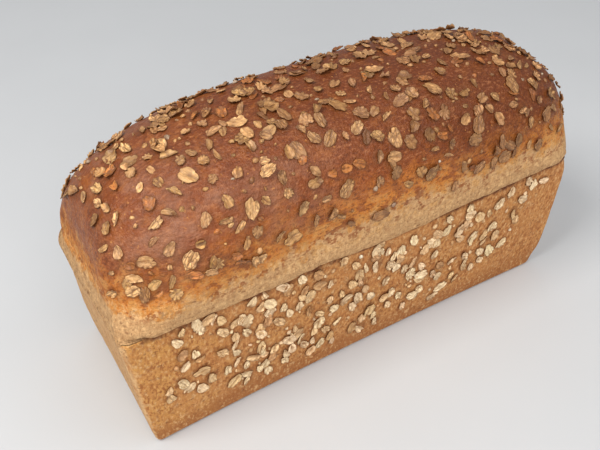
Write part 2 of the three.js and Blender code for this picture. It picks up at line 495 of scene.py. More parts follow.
@dataclass
class Skin:
    """The crust's surface as rows of points, from the middle of the underside to the summit."""

    form: LoafForm
    noise: DoughNoise = DoughNoise(7)
    points: np.ndarray = field(init=False)
    normals: np.ndarray = field(init=False)
    rise: np.ndarray = field(init=False)
    foot_rows: int = field(init=False)

    # The tin's walls, slightly uneven and finely pitted, between these heights and rises.
    wall_bumps = (Bumps(0.5, 55), Bumps(0.2, 13, shift=90), Bumps(0.12, 5, shift=30, layers=3))
    wall_above = Fade(1, 9)
    wall_below = Fade(0.5, -2)

    # The crown's broad swells, lumps and wrinkles, a little sunk so that they stay inside the loaf's box.
    crown_bumps = (
        Bumps(0.9, 48),
        Bumps(0.6, 21, shift=60),
        Bumps(0.3, 10, shift=80),
        Bumps(0.2, 5, shift=20, layers=3),
    )
    crown_sunk = 1.0
    crown_above = Fade(4, 26)

    # The torn band, with strands that run up and down.
    band_bumps = (
        Bumps(0.5, (9, 9, 14), shift=40),
        Bumps(0.36, (3.6, 3.6, 8), shift=70),
        Bumps(0.16, 3, shift=50, layers=2),
    )
    band = Hump(9, 8)

    # The overflow at the left-hand end: fuller towards the back, torn, and without a fold or a crease.
    unfolded = Fade(17, 6)
    overflow = Fade(16, 5)
    overflow_back = Fade(-24, 16)
    overflow_above = Fade(-18, 7)
    overflow_below = Fade(36, 13)
    overflow_front_depth = 0.5
    overflow_back_depth = 1.9
    overflow_torn = Bumps(0.35, 9)
    # Where the painted shade in the crease fades: towards the left-hand end, and higher up.
    crease_gone = Fade(14, 4)
    crease_below = Fade(40, 20)

    # The pinch at the right-hand end, and the foot's corners that the tin didn't fill there.
    pinched = Fade(16, 5)
    pinch = Hump(1, 7)
    pinch_depth = 2.6
    unfilled = Fade(112, 122)
    unfilled_below = Fade(16, 0)
    unfilled_along = 3.0
    unfilled_across = 1.2

    # How far the lip hangs over the crease: unevenly, and most a little right of the front's middle.
    hang = 0.8
    hang_bumps = (Bumps(0.8, 34), Bumps(0.6, 13, shift=50), Bumps(0.45, 5, shift=20))
    hang_above = Fade(0.3, 1.2)
    hang_below = Fade(22, 3)
    hang_from_left = Fade(1, 14)
    sag = Hump(8, 20)
    sag_depth = 2.4

    # The underside, faintly hollow inside this distance from the middle line.
    sole_hollow = 0.35
    sole_bumps = Bumps(0.3, 16, shift=10)
    sole_half_width = 44.0
    sole_edge = Fade(0, 8)

    def __post_init__(self) -> None:
        """Lays out the smooth rows, then works the crust."""
        foot, wall = self.form.foot_outlines(), self.form.wall_outlines()
        lip = self.form.lip_outlines()
        rows = foot + wall + lip + self.form.crown_outlines()
        self.points = self.form.tilted(np.stack([outline.points() for outline in rows]))
        rim_row = len(foot) + len(wall) - 1
        front = self.points[:, self.front_column]
        travel = np.concatenate([[0], np.cumsum(np.linalg.norm(np.diff(front, axis=0), axis=1))])
        self.rise = np.broadcast_to((travel - travel[rim_row])[:, None], self.points.shape[:2])
        self.foot_rows = len(foot)
        self.unfold(slice(rim_row + 1, rim_row + 1 + len(lip)))
        self.normals = self.outward()
        self.work()
        self.normals = self.outward()

    @property
    def front_column(self) -> int:
        """The column in the middle of the front."""
        corner, long, short = Outline.corner_columns, Outline.long_columns, Outline.short_columns
        return 3 * corner + long + short + long // 2

    def from_left(self, fade: Fade) -> np.ndarray:
        """A fade over the distance from the left-hand end, as (rows, columns)."""
        return fade.at(self.points[..., 0] - self.form.left)

    def from_right(self, fade: Fade) -> np.ndarray:
        """A fade over the distance from the right-hand end, as (rows, columns)."""
        return fade.at(self.form.right - self.points[..., 0])

    def outward(self) -> np.ndarray:
        """Which way the rows face as they stand.

        Returns:
            Unit normals, as (rows, columns, 3).
        """
        around = np.roll(self.points, -1, 1) - np.roll(self.points, 1, 1)
        upward = np.gradient(self.points, axis=0)
        normals = np.cross(around, upward)
        return normals / np.maximum(np.linalg.norm(normals, axis=-1, keepdims=True), 1e-9)

    def unfold(self, lip: slice) -> None:
        """Takes the fold out of the lip at the left-hand end, where dough ran down over the tin's rim.

        Args:
            lip: the rows of the lip.
        """
        rows = self.points[lip]
        share = np.linspace(0, 1, len(rows) + 1)[1:, None]
        level = self.form.rim_height + share * (self.form.widest_height - self.form.rim_height)
        left = self.from_left(self.unfolded)[lip]
        rows[..., 2] += left * (level - rows[..., 2])
        rows[..., 0] -= left * self.form.crease_depth * (1 - share) ** 4

    def work(self) -> None:
        """Moves the smooth rows in and out, as the tin and the oven did."""
        place = self.points
        y = place[..., 1]
        depth = self.wall_relief() + self.crown_relief() + self.band_relief() + self.end_relief()
        moved = place + self.normals * depth[..., None]
        moved[..., 2] -= self.droop()
        unfilled = self.unfilled.at(place[..., 0]) * self.unfilled_below.at(place[..., 2])
        moved[..., 0] -= unfilled * self.unfilled_along
        moved[..., 1] -= unfilled * self.unfilled_across * np.sign(y)
        sole = np.arange(len(moved))[:, None] < self.foot_rows - self.form.edge_rows
        hollow = self.sole_hollow + self.noise.relief(place, self.sole_bumps)
        hollow *= self.sole_edge.at(self.sole_half_width - np.abs(y))
        moved[..., 2] = np.where(sole, hollow, np.clip(moved[..., 2], 0, None))
        self.points = moved

    def wall_relief(self) -> np.ndarray:
        """How far the tin's walls stand in or out, as (rows, columns)."""
        wall = self.wall_above.at(self.points[..., 2]) * self.wall_below.at(self.rise)
        return wall * self.noise.relief(self.points, *self.wall_bumps)

    def crown_relief(self) -> np.ndarray:
        """How far the crown stands in or out, as (rows, columns)."""
        depth = self.noise.relief(self.points, *self.crown_bumps) - self.crown_sunk
        return self.crown_above.at(self.rise) * depth

    def band_relief(self) -> np.ndarray:
        """How far the torn band stands in or out, as (rows, columns)."""
        return self.band.at(self.rise) * self.noise.relief(self.points, *self.band_bumps)

    def end_relief(self) -> np.ndarray:
        """What differs at the ends.

        Returns:
            The overflow at the left less the pinch at the right, as (rows, columns).
        """
        back = self.overflow_back.at(self.points[..., 1])
        fullness = self.overflow_front_depth + self.overflow_back_depth * back
        fullness *= self.overflow_above.at(self.rise) * self.overflow_below.at(self.rise)
        fullness *= 1 + self.noise.relief(self.points, self.overflow_torn)
        pinch = self.pinch_depth * self.pinch.at(self.rise)
        return self.from_left(self.overflow) * fullness - self.from_right(self.pinched) * pinch

    def crease(self) -> np.ndarray:
        """How much painted shade lies in the crease under the lip: strongest along the sides, faint at
        the left-hand end.
        """
        return (1 - self.from_left(self.crease_gone)) * self.crease_below.at(self.rise)

    def droop(self) -> np.ndarray:
        """How far the lip hangs over the crease.

        Returns:
            Drops in millimetres, as (rows, columns).
        """
        flat = self.points.copy()
        flat[..., 2] = 0
        front = self.points[..., 1] < 0
        sag = self.sag_depth * self.sag.at(self.points[..., 0]) * front
        near = self.hang_above.at(self.rise) * self.hang_below.at(self.rise)
        near *= self.from_left(self.hang_from_left)
        return near * (self.hang + self.noise.relief(flat, *self.hang_bumps) + sag)

    def cell_areas(self) -> np.ndarray:
        """The size of each four-sided face of the skin.

        Returns:
            Areas, as (rows - 1, columns).
        """
        low, high = self.points[:-1], self.points[1:]
        across = np.roll(high, -1, 1) - low
        other = high - np.roll(low, -1, 1)
        return np.linalg.norm(np.cross(across, other), axis=-1) / 2

    def piece(self, name: str) -> bpy.types.Object:
        """The skin as one closed mesh.

        Args:
            name: the new piece's name.

        Returns:
            The piece, in metres, with a fan over the underside's middle and one over the summit.
        """
        rows, columns = self.points.shape[:2]
        index = np.arange(rows * columns).reshape(rows, columns)
        following = np.roll(index, -1, 1)
        sides = np.stack([index[:-1], following[:-1], following[1:], index[1:]], -1).reshape(-1, 4)
        ends = np.stack([self.points[0].mean(0), self.points[-1].mean(0)])
        below = [(rows * columns, b, a) for a, b in zip(index[0], following[0])]
        above = [(a, b, rows * columns + 1) for a, b in zip(index[-1], following[-1])]
        points = np.concatenate([self.points.reshape(-1, 3), ends])
        return add_piece(name, points, sides.tolist() + below + above)

    def keep(self, piece: bpy.types.Object, name: str, values: np.ndarray) -> None:
        """Keeps one number for each of the skin's points, and the mean of an end row for its middle."""
        ends = [values[0].mean(), values[-1].mean()]
        keep(piece, name, Kept.NUMBER, np.concatenate([values.reshape(-1), ends]))


class FlakeKind(Enum):
    """What the rollers and the oven made of one oat: its curl in millimetres, and its most notches."""

    WHOLE = (0.3, 2)
    PUFFED = (0.3, 5)
    SPLIT = (0.5, 2)
    CURLED = (1.4, 2)
    CRUMB = (0.1, 1)

    @property
    def curl(self) -> float:
        """How far its sides curl up, in millimetres."""
        return self.value[0]

    @property
    def most_notches(self) -> int:
        """How many notches its edge has at most."""
        return self.value[1]


class OatTone(Enum):
    """How far one oat was toasted, as linear red, green and blue."""

    GOLDEN = (0.78, 0.455, 0.19)
    TAN = (0.63, 0.35, 0.125)
    ORANGE = (0.62, 0.23, 0.05)
    KHAKI = (0.53, 0.30, 0.11)
    DARK = (0.38, 0.17, 0.055)
    FLOUR = (0.86, 0.76, 0.58)
    CREAM = (1.0, 0.76, 0.46)
    BUFF = (0.92, 0.62, 0.32)
    HUSK = (0.70, 0.40, 0.17)


@dataclass
class Seat:
    """Where one flake lies, and what it is."""

    place: np.ndarray
    outward: np.ndarray
    along: np.ndarray
    half_length: float
    half_width: float
    kind: FlakeKind
    tone: OatTone
    lift: float
    tilt: tuple[float, float]
    light: float


@dataclass(frozen=True)
class FlakeTraits:
    """What chance gave one flake. Depths and heights are millimetres."""

    noise_level: float
    crackle: float
    groove: float
    puffed: float
    ribs: int
    curl: float
    cup: float
    rim: float
    scorch_turn: float
    scorch: float

    @classmethod
    def drawn(cls, random: np.random.Generator, kind: FlakeKind) -> "FlakeTraits":
        """Draws one flake's traits.

        Args:
            random: what they are drawn from.
            kind: what the flake is.

        Returns:
            The traits.
        """
        return cls(
            noise_level=random.uniform(0, 900),
            crackle=random.uniform(0.15, 1.0),
            groove=random.uniform(0.0, 0.45),
            puffed=1.0 if kind is FlakeKind.PUFFED else max(0.0, random.uniform(-0.3, 0.8)),
            ribs=random.integers(5, 9),
            curl=kind.curl * random.uniform(0.1, 1.3),
            cup=random.uniform(-0.35, 0.45),
            rim=random.uniform(-0.15, 0.4),
            scorch_turn=random.uniform(0, TURN),
            scorch=(random.random() < 0.3) * random.uniform(0.2, 0.8),
        )


@dataclass(frozen=True)
class FlakeShading:
    """Painted shade and highlight on each feature of a flake: shade in the groove, hollows, rib valleys,
    cracks, middle and round the edge, a highlight on the lobes.
    """

    edge: float
    middle: float = 0.4  # as a share of the edge's
    groove: float = 1.7
    lump: float = 0.6
    rib: float = 0.75
    crack: float = 0.55
    lobe: float = -0.2


@dataclass(frozen=True)
class FlakeForm:
    """The rings of one flake, and what rises and sinks on them."""

    along: np.ndarray
    across: np.ndarray
    radius: np.ndarray
    x: np.ndarray
    y: np.ndarray
    lumps: np.ndarray
    cracks: np.ndarray
    groove: np.ndarray
    lobes: np.ndarray
    ribs: np.ndarray


@dataclass
class FlakeMaker:
    """Shapes single rolled oats: thin ovals with a groove, ragged edges and a slight curl."""

    random: np.random.Generator
    shading: FlakeShading
    noise: DoughNoise = DoughNoise(59)
    segments: int = 30
    rings: tuple[float, ...] = (0.0, 0.36, 0.66, 0.88, 1.0)
    edge_thickness: float = 0.5
    core_depth: float = 0.1
    middle_height: float = 0.6
    lump_depth: float = 0.34
    rib_depth: float = 0.34
    crack_depth: float = 0.26
    lobe_height: float = 0.4  # as a share of the groove's depth
    under_inset: float = 0.96
    crumb_height: float = 0.9
    crumb_fall: float = 0.8
    crumb_lump_depth: float = 0.15

    edge_waves = range(2, 10)
    edge_swing = 0.055
    notch_depth = (0.08, 0.34)
    notch_reach = (0.15, 0.24)
    lump_bumps = Bumps(1.0, 2.1, layers=3)
    crack_bumps = Bumps(1.0, (3.6, 1.6, 9.0), shift=40)
    crack_width = Fade(0.24, 0.02)
    cracked = Fade(0.0, 0.4)
    groove = Hump(0, 0.12)
    groove_wander = 0.05
    lobes = Hump(0.46, 0.3)
    ribbed = Fade(0.2, 0.9)
    edge_shaded = Fade(0.8, 1.0)
    middle_shaded = Fade(0.7, 0.2)
    scorched = Fade(0.1, 1.0)
    narrower = 0.16  # how much narrower the tip is than the other end
    split_share = 0.22  # what is left of a split flake's thinner half

    def edge(self, angle: np.ndarray, kind: FlakeKind) -> np.ndarray:
        """How far out the ragged edge is.

        Args:
            angle: directions from the flake's middle.
            kind: what the flake is.

        Returns:
            Shares of the oval's radius.
        """
        reach = np.ones_like(angle)
        for waves in self.edge_waves:
            swing = self.random.normal(0, self.edge_swing / waves**0.5)
            reach += swing * np.sin(waves * angle + self.random.uniform(0, TURN))
        for _ in range(self.random.integers(0, kind.most_notches + 1)):
            gap = np.angle(np.exp(1j * (angle - self.random.uniform(0, TURN))))
            depth = self.random.uniform(*self.notch_depth)
            reach -= depth * Hump(0, self.random.uniform(*self.notch_reach)).at(gap)
        return reach

    def outline(self, kind: FlakeKind) -> tuple[np.ndarray, np.ndarray, np.ndarray]:
        """The rings of a flat oval with a ragged edge.

        Args:
            kind: what the flake is.

        Returns:
            Places along and across as shares of its half sizes, and each ring's share of the radius.
        """
        angle = np.linspace(0, TURN, self.segments, endpoint=False)
        radius = np.array(self.rings)[:, None]
        edge = 1 + (self.edge(angle, kind) - 1) * radius**1.5
        along = radius * edge * np.cos(angle)
        across = radius * edge * np.sin(angle) * (1 - self.narrower * np.cos(angle) * radius)
        if kind is FlakeKind.SPLIT:
            across = np.where(across < 0, self.split_share * across, across)
        return along, across, radius + 0 * angle

    def form(self, seat: Seat) -> tuple[FlakeForm, FlakeTraits]:
        """One flake, flat, with its features marked on it.

        Args:
            seat: the flake's size and kind.

        Returns:
            Its form and its traits.
        """
        along, across, radius = self.outline(seat.kind)
        traits = FlakeTraits.drawn(self.random, seat.kind)
        x, y = along * seat.half_length, across * seat.half_width
        spot = np.stack([x, y, np.full_like(x, traits.noise_level)], -1)
        cracks = self.crack_width.at(np.abs(self.noise.relief(spot, self.crack_bumps)))
        wander = self.groove_wander * np.sin(3 * along)
        form = FlakeForm(
            along=along,
            across=across,
            radius=radius,
            x=x,
            y=y,
            lumps=self.noise.relief(spot, self.lump_bumps),
            cracks=traits.crackle * self.cracked.at(radius) * cracks,
            groove=traits.groove * self.groove.at(across - wander) * (1 - np.abs(along) ** 3),
            lobes=traits.groove * self.lobes.at(np.abs(across)) * (1 - along**2),
            ribs=np.sin(traits.ribs * np.arctan2(y, x) + 3 * along) * self.ribbed.at(radius),
        )
        return form, traits

    def height(self, form: FlakeForm, traits: FlakeTraits, kind: FlakeKind) -> np.ndarray:
        """How high the top of a flake is.

        Args:
            form: its rings.
            traits: its traits.
            kind: what it is.

        Returns:
            Heights in millimetres, shaped like the rings.
        """
        if kind is FlakeKind.CRUMB:
            top = self.crumb_height - self.crumb_fall * form.radius**2
            return top + self.crumb_lump_depth * form.lumps
        height = self.middle_height + self.lobe_height * form.lobes - form.groove
        height += self.lump_depth * form.lumps + self.rib_depth * traits.puffed * form.ribs
        height -= self.crack_depth * form.cracks
        bend = traits.rim * form.radius**3 + traits.curl * form.across**2 + traits.cup * form.along**2
        return height + bend

    def shade(self, form: FlakeForm, traits: FlakeTraits) -> np.ndarray:
        """How dark the top of a flake is: painted shade and highlight from its relief, and its real
        scorch.

        Args:
            form: its rings.
            traits: its traits.

        Returns:
            Shares, mostly from 0 to 1, shaped like the rings.
        """
        shading = self.shading
        turn = traits.scorch_turn
        scorched = self.scorched.at(form.along * math.cos(turn) + form.across * math.sin(turn))
        edge = self.edge_shaded.at(form.radius) + shading.middle * self.middle_shaded.at(form.radius)
        shade = shading.groove * form.groove + shading.edge * edge + shading.lobe * form.lobes
        shade += shading.lump * np.clip(-form.lumps, 0, 1) + shading.crack * form.cracks
        shade += shading.rib * traits.puffed * np.clip(-form.ribs, 0, 1)
        return shade + traits.scorch * scorched

    def shape(self, seat: Seat) -> tuple[np.ndarray, np.ndarray]:
        """One flake about its own middle.

        Args:
            seat: the flake's size and kind.

        Returns:
            Its points, top rings first, and how dark each point is, from 0 to 1.
        """
        form, traits = self.form(seat)
        height = self.height(form, traits, seat.kind)
        shade = self.shade(form, traits)
        top = np.stack([form.x, form.y, height], -1)
        under = top[-1] * (self.under_inset, self.under_inset, 1) - (0, 0, self.edge_thickness)
        core = np.array([[0.0, 0.0, height[0].mean() - self.edge_thickness - self.core_depth]])
        points = np.concatenate([top[:1].mean(1), top[1:].reshape(-1, 3), under, core])
        # Painted shadow: the underside's ring and the core are fully dark.
        darkest = np.ones(self.segments + 1)
        shade = np.concatenate([shade[:1].mean(1), shade[1:].reshape(-1), darkest])
        return points, np.clip(shade, 0, 1)

    def faces(self) -> tuple[np.ndarray, np.ndarray]:
        """The faces of any flake.

        Returns:
            Its triangles and its four-sided faces, as point numbers.
        """
        count = self.segments
        rings = len(self.rings) - 1
        ring = 1 + np.arange((rings + 1) * count).reshape(rings + 1, count)
        following = np.roll(ring, -1, 1)
        quads = np.stack([ring[:-1], ring[1:], following[1:], following[:-1]], -1).reshape(-1, 4)
        top = np.stack([np.zeros(count, int), ring[0], following[0]], -1)
        core = np.full(count, 1 + (rings + 1) * count)
        bottom = np.stack([core, following[-1], ring[-1]], -1)
        return np.concatenate([top, bottom]), quads

    def placed(self, seat: Seat) -> tuple[np.ndarray, np.ndarray, np.ndarray]:
        """One flake on the crust.

        Args:
            seat: where it lies and what it is.

        Returns:
            Its points, its points about its own middle, and how dark each is.
        """
        own, shade = self.shape(seat)
        across = np.cross(seat.outward, seat.along)
        lean, roll = seat.tilt
        lifted = own.copy()
        lifted[:, 2] += own[:, 0] * lean + own[:, 1] * roll + seat.lift
        placed = seat.place + lifted @ np.stack([seat.along, across, seat.outward])
        return placed, own, shade


@dataclass
class Scatter:
    """Lays flakes over one part of the skin."""

    skin: Skin
    random: np.random.Generator
    tones: dict[OatTone, float]
    kinds: dict[FlakeKind, float]
    half_length: tuple[float, float]
    lift: tuple[float, float]
    tilt: float  # how far flakes lean, in radians
    spacing: float
    light: tuple[float, float]
    shade_to_right: float = 0.0  # painted shade: how much darker the flakes are from the middle to the right
    turn_spread: float = 10.0  # how far they turn from upright, in radians

    left_lit = Fade(-110, 10)
    level_facing = 0.9  # crust that faces up more than this has no up and down of its own
    width_share = (0.56, 0.76)
    puffed_wider = 0.2
    crumb_half_length = (0.7, 1.6)
    crumb_width_share = (0.6, 0.95)
    floury_crumbs = 0.08
    node_width_share = 0.68
    spaced_share = 0.88
    close_spacing = 0.45
    crumb_spacing = 0.6
    tries = 12

    def pick(self, shares: dict[Enum, float]) -> Enum:
        """Draws one of several options, each as often as its share says."""
        weights = np.array(list(shares.values()))
        return list(shares)[self.random.choice(len(shares), p=weights / weights.sum())]

    def direction(self, outward: np.ndarray) -> np.ndarray:
        """A long axis by chance.

        Args:
            outward: which way the crust faces.

        Returns:
            The axis, along the crust.
        """
        up = (0.0, 0.0, 1.0) if abs(outward[2]) < self.level_facing else (1.0, 0.0, 0.0)
        side = np.cross(up, outward)
        side /= np.linalg.norm(side)
        turn = self.random.normal(QUARTER_TURN, self.turn_spread)
        return side * math.cos(turn) + np.cross(outward, side) * math.sin(turn)

    def seat(self, row: int, column: int, along: np.ndarray | None = None) -> Seat:
        """A flake at one of the skin's points.

        Args:
            row: the point's row.
            column: the point's column.
            along: the flake's long axis, or None for one by chance.

        Returns:
            The seat.
        """
        place, outward = self.skin.points[row, column], self.skin.normals[row, column]
        if along is None:
            along = self.direction(outward)
        along = along - outward * (along @ outward)
        kind = self.pick(self.kinds)
        tone = self.pick(self.tones)
        half = self.random.uniform(*self.half_length)
        width_share = self.random.uniform(*self.width_share)
        width = half * (width_share + self.puffed_wider * (kind is FlakeKind.PUFFED))
        if kind is FlakeKind.CRUMB:
            half = self.random.uniform(*self.crumb_half_length)
            width = half * self.random.uniform(*self.crumb_width_share)
            tone = OatTone.FLOUR if self.random.random() < self.floury_crumbs else tone
        # Painted shade: flakes further right are darker.
        darker = self.shade_to_right * float(self.left_lit.at(place[0]))
        return Seat(
            place=place,
            outward=outward,
            along=along / np.linalg.norm(along),
            half_length=half,
            half_width=width,
            kind=kind,
            tone=tone,
            lift=self.random.uniform(*self.lift),
            tilt=tuple(self.random.normal(0, self.tilt, 2)),
            light=self.random.uniform(*self.light) * (1 - darker),
        )

    def on_nodes(self, nodes: list[str]) -> list[Seat]:
        """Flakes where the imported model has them.

        Args:
            nodes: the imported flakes' names.

        Returns:
            A whole flake for each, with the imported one's place and direction.
        """
        seats = []
        for node in nodes:
            corners = np.array([vertex.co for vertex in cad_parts[node].data.vertices]) / MM
            centre = corners.mean(0)
            along = np.linalg.svd(corners - centre, full_matrices=False)[2][0]
            gaps = np.linalg.norm(self.skin.points - centre, axis=-1)
            seat = self.seat(*np.unravel_index(gaps.argmin(), gaps.shape), along)
            seat.kind = FlakeKind.WHOLE
            seat.tone = self.pick(self.tones)
            seat.half_length = np.ptp((corners - centre) @ along) / 2
            seat.half_width = seat.half_length * self.node_width_share
            seats.append(seat)
        return seats

    def spread(self, density: np.ndarray, count: int, taken: list[Seat]) -> list[Seat]:
        """Flakes by chance, crowded where the density is high.

        Args:
            density: how likely a flake is on each face of the skin, as (rows - 1, columns).
            count: how many flakes there are in all, with those taken.
            taken: the flakes that lie there already.

        Returns:
            All the flakes, those taken first.
        """
        weights = (density * self.skin.cell_areas()).reshape(-1)
        cells = self.random.choice(len(weights), size=count * self.tries, p=weights / weights.sum())
        seats = list(taken)
        for cell in cells:
            if len(seats) >= count:
                break
            seat = self.seat(*divmod(int(cell), density.shape[1]))
            gaps = [np.linalg.norm(seat.place - other.place) for other in seats]
            spaced = self.random.random() < self.spaced_share
            room = self.spacing if spaced else self.close_spacing * self.spacing
            if seat.kind is FlakeKind.CRUMB:
                room *= self.crumb_spacing
            if not gaps or min(gaps) > room:
                seats.append(seat)
        return seats


@dataclass(frozen=True)
class Cloud:
    """Cloudy noise, and the part of it that shows.

    The size is the distance between clouds in millimetres, longer along x, y and z by the stretch. They
    show from 0 where the noise is low to most where it is high. The noise is mostly near 0.5. The shift
    is how far off it is read, so that two kinds differ.
    """

    size: float
    low: float
    high: float
    most: float = 1.0
    stretch: Stretch = EVEN
    detail: float = 3.0
    shift: float = 0.0


@dataclass
class NodeSheet:
    """Lays out a material's nodes, with places in millimetres."""

    material: bpy.types.Material
    shader: bpy.types.Node = field(init=False)
    place: Socket = field(init=False)

    def __post_init__(self) -> None:
        """Clears the sheet and adds the shader and the object's own coordinates."""
        self.material.use_nodes = True
        self.tree.nodes.clear()
        output = self.add("OutputMaterial")
        self.shader = self.add("BsdfPrincipled")
        self.feed(output.inputs["Surface"], self.shader.outputs["BSDF"])
        scale = self.add("VectorMath")
        scale.operation = "SCALE"
        self.feed(scale.inputs["Scale"], 1 / MM)
        self.feed(scale.inputs[0], self.add("TexCoord").outputs["Object"])
        self.place = scale.outputs["Vector"]

    @property
    def tree(self) -> bpy.types.NodeTree:
        """The material's node tree."""
        return self.material.node_tree

    def add(self, kind: str) -> bpy.types.Node:
        """A new node of one of the shader kinds."""
        return self.tree.nodes.new(f"ShaderNode{kind}")

    def feed(self, socket: Socket, value: Input) -> None:
        """Sets what a socket takes.

        Args:
            socket: a node's input.
            value: what it is linked to, or its own value.
        """
        if isinstance(value, Socket):
            self.tree.links.new(value, socket)
        else:
            socket.default_value = value

    def math(self, operation: str, first: Input, second: Input = 0.0, third: Input = 0.0) -> Socket:
        """One sum.

        Args:
            operation: the Math node's operation.
            first: a number or a socket.
            second: a number or a socket.
            third: a number or a socket, for sums of three.

        Returns:
            The result's socket.
        """
        node = self.add("Math")
        node.operation = operation
        for socket, value in zip(node.inputs, (first, second, third)):
            self.feed(socket, value)
        return node.outputs["Value"]

    def product(self, first: Input, *others: Input) -> Socket:
        """Several numbers multiplied.

        Args:
            first: a number or a socket.
            others: more of them.

        Returns:
            The result's socket.
        """
        for other in others:
            first = self.math("MULTIPLY", first, other)
        return first

    def reading(self, name: str, output: str = "Fac") -> Socket:
        """What the mesh keeps for each point.

        Args:
            name: what it is called.
            output: Fac for a number, Vector for a place or Color for a colour.

        Returns:
            The reading's socket.
        """
        node = self.add("Attribute")
        node.attribute_name = name
        return node.outputs[output]

    def spread(self, size: float, stretch: Stretch, place: Socket | None, shift: float = 0.0) -> Socket:
        """Places measured in steps of a size.

        Args:
            size: the step in millimetres.
            stretch: how much longer the steps are along x, y and z.
            place: where it is read, or None for the object's own coordinates.
            shift: how far off it is read, in millimetres.

        Returns:
            The places' socket.
        """
        where = place or self.place
        if shift:
            shifted = self.add("VectorMath")
            self.feed(shifted.inputs[0], where)
            self.feed(shifted.inputs[1], (shift, shift, shift))
            where = shifted.outputs["Vector"]
        mapping = self.add("Mapping")
        self.feed(mapping.inputs["Scale"], [1 / (size * part) for part in stretch])
        self.feed(mapping.inputs["Vector"], where)
        return mapping.outputs["Vector"]

    def noise(
        self,
        size: float,
        detail: float = 3.0,
        stretch: Stretch = EVEN,
        shift: float = 0.0,
        place: Socket | None = None,
    ) -> Socket:
        """Cloudy noise.

        Args:
            size: the distance between clouds in millimetres.
            detail: how many finer layers they have.
            stretch: how much longer the clouds are along x, y and z.
            shift: how far off it is read, in millimetres.
            place: where it is read, or None for the object's own coordinates.

        Returns:
            A socket from 0 to 1, mostly near 0.5.
        """
        node = self.add("TexNoise")
        self.feed(node.inputs["Scale"], 1.0)
        self.feed(node.inputs["Detail"], detail)
        self.feed(node.inputs["Roughness"], 0.62)
        self.feed(node.inputs["Vector"], self.spread(size, stretch, place, shift))
        return node.outputs["Fac"]

    def sway(self, reach: float, size: float, detail: float, stretch: Stretch = EVEN) -> Socket:
        """Cloudy noise about zero, from -reach to reach."""
        return self.math("MULTIPLY_ADD", self.noise(size, detail, stretch), 2 * reach, -reach)

    def cover(self, cloud: Cloud, *masks: Socket, place: Socket | None = None) -> Socket:
        """How much of something shows through clouds, cut down further by the masks."""
        noise = self.noise(cloud.size, cloud.detail, cloud.stretch, cloud.shift, place)
        return self.product(self.span(noise, cloud.low, cloud.high, 0, cloud.most), *masks)

    def cells(self, where: Socket, feature: str, wobble: float, reach: float) -> bpy.types.Node:
        """Cells with wavy walls.

        Args:
            where: places measured in cells.
            feature: the Voronoi node's feature.
            wobble: how many waves there are to a cell.
            reach: how far the walls swing, in cells.

        Returns:
            The node.
        """
        node = self.add("TexVoronoi")
        node.feature = feature
        self.feed(node.inputs["Scale"], 1.0)
        cloud = self.add("TexNoise")
        self.feed(cloud.inputs["Scale"], wobble)
        self.feed(cloud.inputs["Vector"], where)
        moved = self.add("VectorMath")
        moved.operation = "MULTIPLY_ADD"
        self.feed(moved.inputs[0], cloud.outputs["Color"])
        self.feed(moved.inputs[1], (reach, reach, reach))
        self.feed(moved.inputs[2], where)
        self.feed(node.inputs["Vector"], moved.outputs["Vector"])
        return node

    def specks(self, size: float, share: float, reach: float, stretch: Stretch = EVEN) -> Socket:
        """Single specks, each in a cell of its own.

        Args:
            size: the distance between cells in millimetres.
            share: how many of the cells hold a speck.
            reach: a speck's radius as a share of the cell.
            stretch: how much longer the cells are along x, y and z.

        Returns:
            A socket that is 1 on a speck and 0 off it.
        """
        node = self.cells(self.spread(size, stretch, None), "F1", wobble=1.6, reach=0.9)
        parts = self.add("SeparateColor")
        self.feed(parts.inputs["Color"], node.outputs["Color"])
        chosen = self.math("LESS_THAN", parts.outputs["Red"], share)
        return self.product(chosen, self.span(node.outputs["Distance"], reach, 0.6 * reach))

    def crinkles(self, size: float, stretch: Stretch, place: Socket) -> Socket:
        """Rounded lumps, about 0.5 high, with creases between them that are 0."""
        where = self.spread(size, stretch, place)
        return self.cells(where, "DISTANCE_TO_EDGE", wobble=1.1, reach=0.7).outputs["Distance"]

    def span(
        self, value: Socket, low: float, high: float, start: float = 0.0, end: float = 1.0
    ) -> Socket:
        """Moves a range of numbers onto another, without passing its ends.

        Args:
            value: the number's socket.
            low: the number that gives start.
            high: the number that gives end.
            start: the result at low.
            end: the result at high.

        Returns:
            The result's socket.
        """
        node = self.add("MapRange")
        node.interpolation_type = "SMOOTHSTEP"
        self.feed(node.inputs["Value"], value)
        for name, number in (("From Min", low), ("From Max", high), ("To Min", start), ("To Max", end)):
            self.feed(node.inputs[name], number)
        return node.outputs["Result"]

    def ramp(self, value: Socket, stops: list[tuple[float, Colour]]) -> Socket:
        """A colour for each number.

        Args:
            value: the number's socket, from 0 to 1.
            stops: places from 0 to 1 and their linear colours.

        Returns:
            The colour's socket.
        """
        node = self.add("ValToRGB")
        elements = node.color_ramp.elements
        while len(elements) < len(stops):
            elements.new(1.0)
        for element, (place, colour) in zip(elements, stops):
            element.position = place
            element.color = (*colour, 1)
        self.feed(node.inputs["Fac"], value)
        return node.outputs["Color"]

    def mix(self, share: Input, first: Input, second: Input, blend: str = "MIX") -> Socket:
        """Two colours mixed.

        Args:
            share: how much of the second shows.
            first: a colour or a socket.
            second: a colour or a socket.
            blend: the Mix node's way of blending.

        Returns:
            The colour's socket.
        """
        node = self.add("Mix")
        node.data_type = "RGBA"
        node.blend_type = blend
        self.feed(node.inputs["Factor"], share)
        for name, value in (("A", first), ("B", second)):
            socket = next(s for s in node.inputs if s.name == name and s.type == "RGBA")
            self.feed(socket, (*value, 1) if isinstance(value, tuple) else value)
        return next(s for s in node.outputs if s.type == "RGBA")

    def layered(self, colour: Input, *layers: tuple[Input, Input]) -> Socket:
        """Colours laid over another, one after the other.

        Args:
            colour: the colour underneath.
            layers: how much of each further colour shows, and the colour.

        Returns:
            The colour's socket.
        """
        for share, over in layers:
            colour = self.mix(share, colour, over)
        return colour

